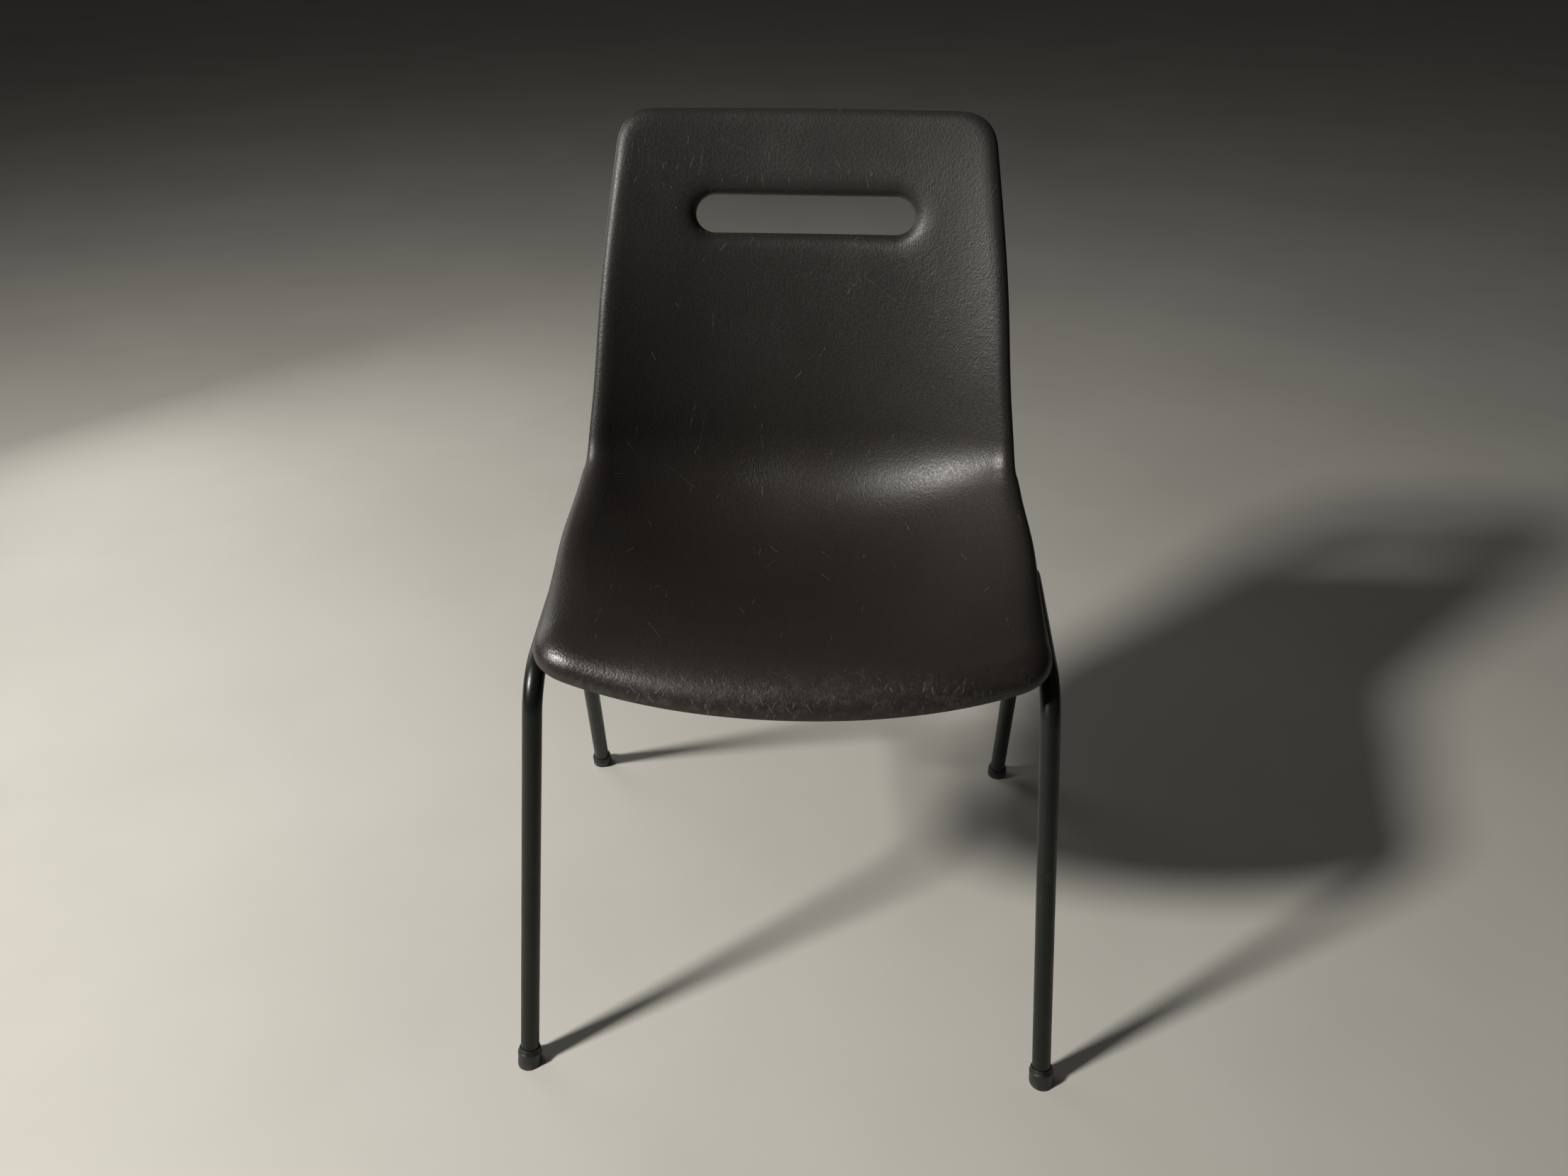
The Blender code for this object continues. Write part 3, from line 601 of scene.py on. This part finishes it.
def edge_reach(x, run):
    return edge_size(x, run, FRONT_REACH, CORNER_REACH, SIDE_REACH, BACK_REACH)


def edge_drop(x, run):
    return edge_size(x, run, FRONT_DROP, CORNER_DROP, SIDE_DROP, BACK_DROP)


def corner(start, middle, end, t):
    return (1 - t) ** 2 * start + 2 * t * (1 - t) * middle + t * t * end


def outline(inner):
    """Right half of an outline in (x, run), front middle to top middle. The outer one
    is where the rolled edge ends, the inner one where it starts to turn."""
    width, top = half_width(0), half_width(SHELL_LENGTH)
    front_corner = Vector((half_width(FRONT_BOW), FRONT_BOW))
    back_corner = Vector((top, SHELL_LENGTH - TOP_CROWN))
    front_leg, back_leg = FRONT_CORNER_LEG, TOP_CORNER_LEG
    if inner:
        front_corner += Vector((-CORNER_REACH, CORNER_REACH))
        front_corner.y -= FRONT_BOW * (1 - (front_corner.x / width) ** 2)
        back_corner -= Vector((BACK_REACH, BACK_REACH))
        front_leg = max(front_leg - CORNER_REACH, LEAST_CORNER)
        back_leg = max(back_leg - BACK_REACH, LEAST_CORNER)

    def front_run(x):
        return FRONT_BOW * (x / width) ** 2 + (edge_reach(x, 0) if inner else 0)

    def back_run(x):
        return SHELL_LENGTH - TOP_CROWN * (x / top) ** 2 - (BACK_REACH if inner else 0)

    def side_x(run):
        return half_width(run) - (edge_reach(half_width(run), run) if inner else 0)

    spread, rows = COLUMNS - CORNER_STEPS, ROWS - 2 * CORNER_STEPS
    low, high = front_corner.y + front_leg, back_corner.y - back_leg
    front = [Vector((x, front_run(x))) for x in
             ((front_corner.x - front_leg) * i / spread for i in range(spread + 1))]
    side = [Vector((side_x(run), run)) for run in
            (low + (high - low) * i / rows for i in range(rows + 1))]
    back = [Vector((x, back_run(x))) for x in
            ((back_corner.x - back_leg) * (1 - i / spread) for i in range(spread + 1))]
    turns = [i / (2 * CORNER_STEPS) for i in range(1, 2 * CORNER_STEPS)]
    front_turn = [corner(front[-1], front_corner, side[0], t) for t in turns]
    back_turn = [corner(side[-1], back_corner, back[0], t) for t in turns]
    return front + front_turn + side + back_turn + back


def shell_grid():
    """(x, run) of every grid vertex, filled between the four sides of the half."""
    edge = outline(inner=True)
    front, side = edge[:COLUMNS + 1], edge[COLUMNS:COLUMNS + ROWS + 1]
    back = edge[COLUMNS + ROWS:][::-1]
    grid = {}
    for j in range(ROWS + 1):
        v = (side[j].y - side[0].y) / (side[-1].y - side[0].y)
        middle = front[0].lerp(back[0], v)
        for i in range(COLUMNS + 1):
            u = front[i].x / front[-1].x
            corners = (front[0].lerp(front[-1], u)).lerp(back[0].lerp(back[-1], u), v)
            grid[i, j] = front[i].lerp(back[i], v) + middle.lerp(side[j], u) - corners
    return grid


def slot_outlines(count):
    """Right halves of the outlines where the slot's flare starts and ends."""
    flare = SLOT_HEIGHT / 2 + SLOT_REACH
    straight = (SLOT_LENGTH - SLOT_HEIGHT) / 2
    length = 2 * straight + math.pi * flare
    run = SHELL_LENGTH - SLOT_BELOW_TOP
    starts, ends = [], []
    for i in range(count + 1):
        gone = length * i / count
        angle = min(max((gone - straight) / flare, 0), math.pi) - math.pi / 2
        centre = Vector((min(gone, straight, length - gone), run))
        way = Vector((math.cos(angle), math.sin(angle)))
        starts.append(centre + flare * way)
        ends.append(centre + SLOT_HEIGHT / 2 * way)
    for point in (starts[0], starts[-1], ends[0], ends[-1]):
        point.x = 0.0
    return starts, ends


class Surface:
    """The shell's upper face as it is built, with its developed coordinates."""

    def __init__(self):
        self.shape = bmesh.new()
        self.spots = {}

    def vert(self, place, spot):
        vert = self.shape.verts.new(place)
        self.spots[vert] = spot
        return vert

    def strip(self, first, second, flip=False):
        for i in range(len(first) - 1):
            face = (first[i], first[i + 1], second[i + 1], second[i])
            self.shape.faces.new(face[::-1] if flip else face)

    def rolled(self, start, chain, ends, drops):
        """Roll an edge back in rings, from a chain of (x, run) points to another."""
        frames = [shell_frame(*point) for point in chain]
        previous = start
        for out, down, gone in roll_profile():
            ring = []
            for point, end, drop, frame in zip(chain, ends, drops, frames):
                place, across, along_run, normal = frame
                way = end - point
                outward = (way.x * across + way.y * along_run).normalized() * way.length
                ring.append(self.vert(place + out * outward - down * drop * normal,
                                      point + gone * way))
            self.strip(previous, ring)
            previous = ring

    def mesh(self, name):
        bmesh.ops.recalc_face_normals(self.shape, faces=self.shape.faces)
        if sum(face.normal.z for face in self.shape.faces) < 0:
            bmesh.ops.reverse_faces(self.shape, faces=self.shape.faces)
        layer = self.shape.loops.layers.uv.new("surface")
        for face in self.shape.faces:
            for loop in face.loops:
                loop[layer].uv = self.spots[loop.vert]
        for vert in self.shape.verts:
            if abs(vert.co.x) < 1e-5:
                vert.co.x = 0.0
        return mesh_of(name, self.shape)


def shell_half():
    """Right half of the shell's upper face, open at the middle plane."""
    surface = Surface()
    grid = shell_grid()
    first, last = WINDOW_ROWS
    window = ([(i, first) for i in range(WINDOW_COLUMNS)]
              + [(WINDOW_COLUMNS, j) for j in range(first, last)]
              + [(i, last) for i in range(WINDOW_COLUMNS, -1, -1)])
    inside = {(i, j) for i in range(WINDOW_COLUMNS) for j in range(first + 1, last)}
    verts = {key: surface.vert(shell_point(*point), point)
             for key, point in grid.items() if key not in inside}
    for i in range(COLUMNS):
        for j in range(ROWS):
            if i < WINDOW_COLUMNS and first <= j < last:
                continue
            surface.shape.faces.new((verts[i, j], verts[i + 1, j], verts[i + 1, j + 1],
                                     verts[i, j + 1]))
    # the slot: rings that change from the window's outline to the slot's, then the roll
    slot, slot_edge = slot_outlines(len(window) - 1)
    outer = [verts[key] for key in window]
    for step in range(1, SLOT_RINGS + 1):
        points = [grid[key].lerp(point, step / SLOT_RINGS) for key, point in zip(window, slot)]
        ring = [surface.vert(shell_point(*point), point) for point in points]
        surface.strip(outer, ring, flip=True)
        outer = ring
    surface.rolled(outer, slot, slot_edge, [SLOT_DROP] * len(slot))
    keys = ([(i, 0) for i in range(COLUMNS + 1)] + [(COLUMNS, j) for j in range(1, ROWS + 1)]
            + [(i, ROWS) for i in range(COLUMNS - 1, -1, -1)])
    surface.rolled([verts[key] for key in keys], [grid[key] for key in keys],
                   outline(inner=False), [edge_drop(*grid[key]) for key in keys])
    return surface.mesh("seat_shell_moulding")


def screw_places():
    """Names and (x, y) of the four screws."""
    front, rear = FRONT_CROSS_Y - LUG_REACH, REAR_CROSS_Y + LUG_REACH
    return [(f"{row}_{name}", Vector((side * LUG_X, y, 0)))
            for row, y in (("front", front), ("rear", rear)) for name, side in SIDES]


def joined_cylinders(name, places, radius, length):
    shape = bmesh.new()
    for place in places:
        bmesh.ops.create_cone(shape, cap_ends=True, segments=BOSS_SIDES, radius1=radius,
                              radius2=radius, depth=length,
                              matrix=Matrix.Translation(place + Vector((0, 0, length / 2))))
    return mesh_of(name, shape)


def cut(item, mesh, operation):
    tool = bpy.data.objects.new(mesh.name, mesh)
    bpy.context.scene.collection.objects.link(tool)
    boolean = item.modifiers.new(mesh.name, "BOOLEAN")
    boolean.operation = operation
    boolean.solver = "EXACT"
    boolean.object = tool
    return tool


def build_shell(material):
    """Bucket shell with its rolled edge, flared hand slot and four screw bosses."""
    raw = bpy.data.objects.new("raw_shell", shell_half())
    bpy.context.scene.collection.objects.link(raw)
    mirror = raw.modifiers.new("halves", "MIRROR")
    mirror.merge_threshold = 0.00002
    wall = raw.modifiers.new("wall", "SOLIDIFY")
    wall.thickness = SHELL_THICKNESS
    wall.offset = -1
    wall.use_even_offset = True
    rim = raw.modifiers.new("rim", "BEVEL")
    rim.width = RIM_ROUNDING
    rim.segments = 3
    rim.limit_method = "ANGLE"
    rim.angle_limit = math.radians(60)
    base = Vector((0, 0, LUG_TOP + GAP))
    places = [place + base for _, place in screw_places()]
    tools = []
    for row in (places[:2], places[2:]):
        run = float(np.interp(row[0].y, LINE_Y, LINE_RUNS))
        height = shell_point(LUG_X, run).z - SHELL_THICKNESS / 2 - base.z
        tools.append(cut(raw, joined_cylinders("bosses", row, BOSS_RADIUS, height), "UNION"))
    lowered = [place - Vector((0, 0, 0.002)) for place in places]
    tools.append(cut(raw, joined_cylinders("holes", lowered, BOSS_HOLE_RADIUS,
                                           BOSS_HOLE_DEPTH + 0.002), "DIFFERENCE"))
    mesh = baked(raw)
    for tool in tools:
        bpy.data.objects.remove(tool, do_unlink=True)
    layer = mesh.uv_layers["surface"].data
    for face in mesh.polygons:
        if face.center.x < 0:
            for k in face.loop_indices:
                layer[k].uv.x *= -1
    new_piece("seat_shell_moulding", mesh, material, ["seat_shell"], 50)


# --- Frame -----------------------------------------------------------------------

def build_side_frame(name, side, material):
    """Bent tube, a little flattened in its bends."""
    foot, low, high, end = (mirrored(point, side) for point in
                            (FRONT_FOOT, FRONT_CORNER, REAR_CORNER, REAR_FOOT))
    start = foot + TUBE_START * (low - foot).normalized()
    finish = end + TUBE_START * (high - end).normalized()
    bends = [bend(foot, low, high), bend(low, high, end)]
    line, sizes = [], []
    straights = ((start, bends[0][0]), (bends[0][-1], bends[1][0]), (bends[1][-1], finish))
    for k, (begin, stop) in enumerate(straights):
        last = k == len(bends)
        for i in range(STRAIGHT_STEPS + last):
            line.append(begin.lerp(stop, i / STRAIGHT_STEPS))
            sizes.append((TUBE_RADIUS, TUBE_RADIUS))
        if not last:
            for i, place in enumerate(bends[k][:-1]):
                press = math.sin(math.pi * i / BEND_STEPS) ** 2
                line.append(place)
                sizes.append((TUBE_RADIUS * (1 - BEND_PRESSED * press),
                              TUBE_RADIUS * (1 + BEND_SWOLLEN * press)))
    mesh = swept(f"{name}_tube", line, sizes, TUBE_SIDES, Vector((1, 0, 0)))
    new_piece(f"{name}_tube", mesh, material, [name])


def run_x(y):
    """Distance of the run's axis from the middle plane."""
    share = (y - FRONT_CORNER.y) / (REAR_CORNER.y - FRONT_CORNER.y)
    return FRONT_CORNER.x + share * (REAR_CORNER.x - FRONT_CORNER.x)


def tube_weld(name, y, side):
    """Bead round the end of a cross tube, where it meets a side frame."""
    line, sizes = [], []
    for i in range(WELD_STEPS):
        a = 2 * math.pi * i / WELD_STEPS
        dy, dz = CROSS_RADIUS * math.cos(a), CROSS_RADIUS * math.sin(a)
        x = run_x(y + dy) - math.sqrt(TUBE_RADIUS ** 2 - dz ** 2)
        line.append(Vector((side * (x - WELD_SUNK), y + dy * 1.03, RUN_HEIGHT + dz * 1.03)))
        ripple = 0.10 * math.sin(23 * a) + 0.06 * math.sin(5 * a + 1)
        sizes.append(WELD_RADIUS * (1 + ripple))
    return swept(name, line, sizes, WELD_SIDES, Vector((1, 0.02, 0.03)), closed=True)


def lug_weld(name, y, side):
    """Two short beads that hold a lug on its cross tube."""
    shape = bmesh.new()
    for edge in (-1, 1):
        line, sizes = [], []
        for i in range(BEAD_STEPS + 1):
            t = i / BEAD_STEPS
            line.append(Vector((side * LUG_X + (t - 0.5) * BEAD_LENGTH, y + edge * BEAD_FROM_AXIS,
                                RUN_HEIGHT + CROSS_RADIUS - BEAD_SUNK)))
            swell = math.sqrt(max(1 - (2 * t - 1) ** 6, 0.02))
            sizes.append(BEAD_RADIUS * swell * (1 + 0.12 * math.sin(34 * t)))
        shape.from_mesh(swept("bead", line, sizes, BEAD_SIDES, Vector((0, 0, 1))))
    return mesh_of(name, shape)


def build_welds(material):
    for row, y in (("front", FRONT_CROSS_Y), ("rear", REAR_CROSS_Y)):
        for name, side in SIDES:
            for mesh in (tube_weld(f"weld_{row}_{name}", y, side),
                         lug_weld(f"lug_weld_{row}_{name}", y, side)):
                new_piece(mesh.name, mesh, material)


def build_foot_cap(name, foot, top, material):
    """Rubber ferrule: sloping shoulder, fine moulding line, base level with the floor."""
    leg = (top - foot).normalized()
    bore = TUBE_RADIUS + GAP
    profile = [(0, CAP_FLOOR), (bore, CAP_FLOOR), (bore, CAP_TOP - 0.0004)]
    profile += arc((CAP_TOP_RADIUS - CAP_LIP_ROUNDING, CAP_TOP - CAP_LIP_ROUNDING),
                   CAP_LIP_ROUNDING, 150, 10, 6)
    profile += arc((CAP_RADIUS - CAP_SHOULDER_ROUNDING, CAP_SHOULDER - 0.0004),
                   CAP_SHOULDER_ROUNDING, 50, 0, 5)
    profile += [(CAP_RADIUS, 0.0110), (CAP_RADIUS - 0.00015, 0.0070), (CAP_RADIUS, 0.0030)]
    profile += arc((CAP_RADIUS - CAP_SOLE_ROUNDING, CAP_SOLE_ROUNDING),
                   CAP_SOLE_ROUNDING, 0, -90, 6)
    profile += [(CAP_RADIUS * 0.6, 0), (0, 0)]
    mesh = turned(f"{name}_moulding", profile, CAP_SIDES)
    turn = along(leg).to_matrix()
    for vert in mesh.vertices:
        height = vert.co.z
        place = foot + turn @ vert.co
        if Vector((vert.co.x, vert.co.y)).length > bore + 0.0002 or height < CAP_FLOOR - 0.0001:
            share = 1 - smooth_step(0.0012, 0.0105, height)
            place += share * leg * (height - place.z) / leg.z
        vert.co = place
    new_piece(f"{name}_moulding", mesh, material, [name], 50)


# --- Scene -----------------------------------------------------------------------

def add_camera():
    forward = Vector((math.sin(CAMERA_YAW), math.cos(CAMERA_YAW), 0))
    level = Vector((math.cos(CAMERA_YAW), -math.sin(CAMERA_YAW), 0))
    up = Vector((0, 0, 1))
    look = math.cos(CAMERA_PITCH) * forward - math.sin(CAMERA_PITCH) * up
    raised = math.sin(CAMERA_PITCH) * forward + math.cos(CAMERA_PITCH) * up
    right = math.cos(CAMERA_ROLL) * level + math.sin(CAMERA_ROLL) * raised
    top = -math.sin(CAMERA_ROLL) * level + math.cos(CAMERA_ROLL) * raised
    data = bpy.data.cameras.new("camera")
    data.lens = CAMERA_LENS
    data.sensor_width = 36
    data.clip_start = 0.01
    camera = bpy.data.objects.new("camera", data)
    bpy.context.scene.collection.objects.link(camera)
    turn = Matrix((right, top, -look)).transposed()
    camera.matrix_world = Matrix.Translation(CAMERA_PLACE) @ turn.to_4x4()
    bpy.context.scene.camera = camera


def add_light(name, place, target, size, power, colour):
    data = bpy.data.lights.new(name, "AREA")
    data.shape = "DISK"
    data.size = size
    data.energy = power
    data.color = colour
    light = bpy.data.objects.new(name, data)
    bpy.context.scene.collection.objects.link(light)
    light.location = place
    light.rotation_euler = (Vector(target) - Vector(place)).to_track_quat("-Z", "Y").to_euler()
    light.visible_camera = False


def add_floor():
    shape = bmesh.new()
    bmesh.ops.create_grid(shape, x_segments=12, y_segments=12, size=20)
    floor = bpy.data.objects.new("floor", mesh_of("floor", shape))
    floor.data.materials.append(floor_material())
    bpy.context.scene.collection.objects.link(floor)


def add_world():
    world = bpy.data.worlds.new("studio")
    world.use_nodes = True
    background = world.node_tree.nodes["Background"]
    background.inputs["Color"].default_value = WORLD_COLOUR
    background.inputs["Strength"].default_value = WORLD_STRENGTH
    bpy.context.scene.world = world


def main():
    shell, paint = shell_material(), paint_material()
    rubber, steel = rubber_material(), steel_material()
    build_shell(shell)
    for name, side in SIDES:
        build_side_frame(f"side_frame_{name}", side, paint)
        for row, foot, top in (("front", FRONT_FOOT, FRONT_CORNER),
                               ("rear", REAR_FOOT, REAR_CORNER)):
            build_foot_cap(f"foot_cap_{row}_{name}", mirrored(foot, side),
                           mirrored(top, side), rubber)
    build_welds(paint)
    finishes = (("cross_tube", paint), ("mounting_lug", paint), ("washer", steel),
                ("screw", steel), ("foot_disc", steel))
    for node, item in nodes.items():
        for start, material in finishes:
            if node.startswith(start):
                item.data.materials.clear()
                item.data.materials.append(material)
    add_camera()
    add_floor()
    add_world()
    for light in LIGHTS:
        add_light(*light)
    bpy.context.scene.view_settings.view_transform = "Standard"


main()
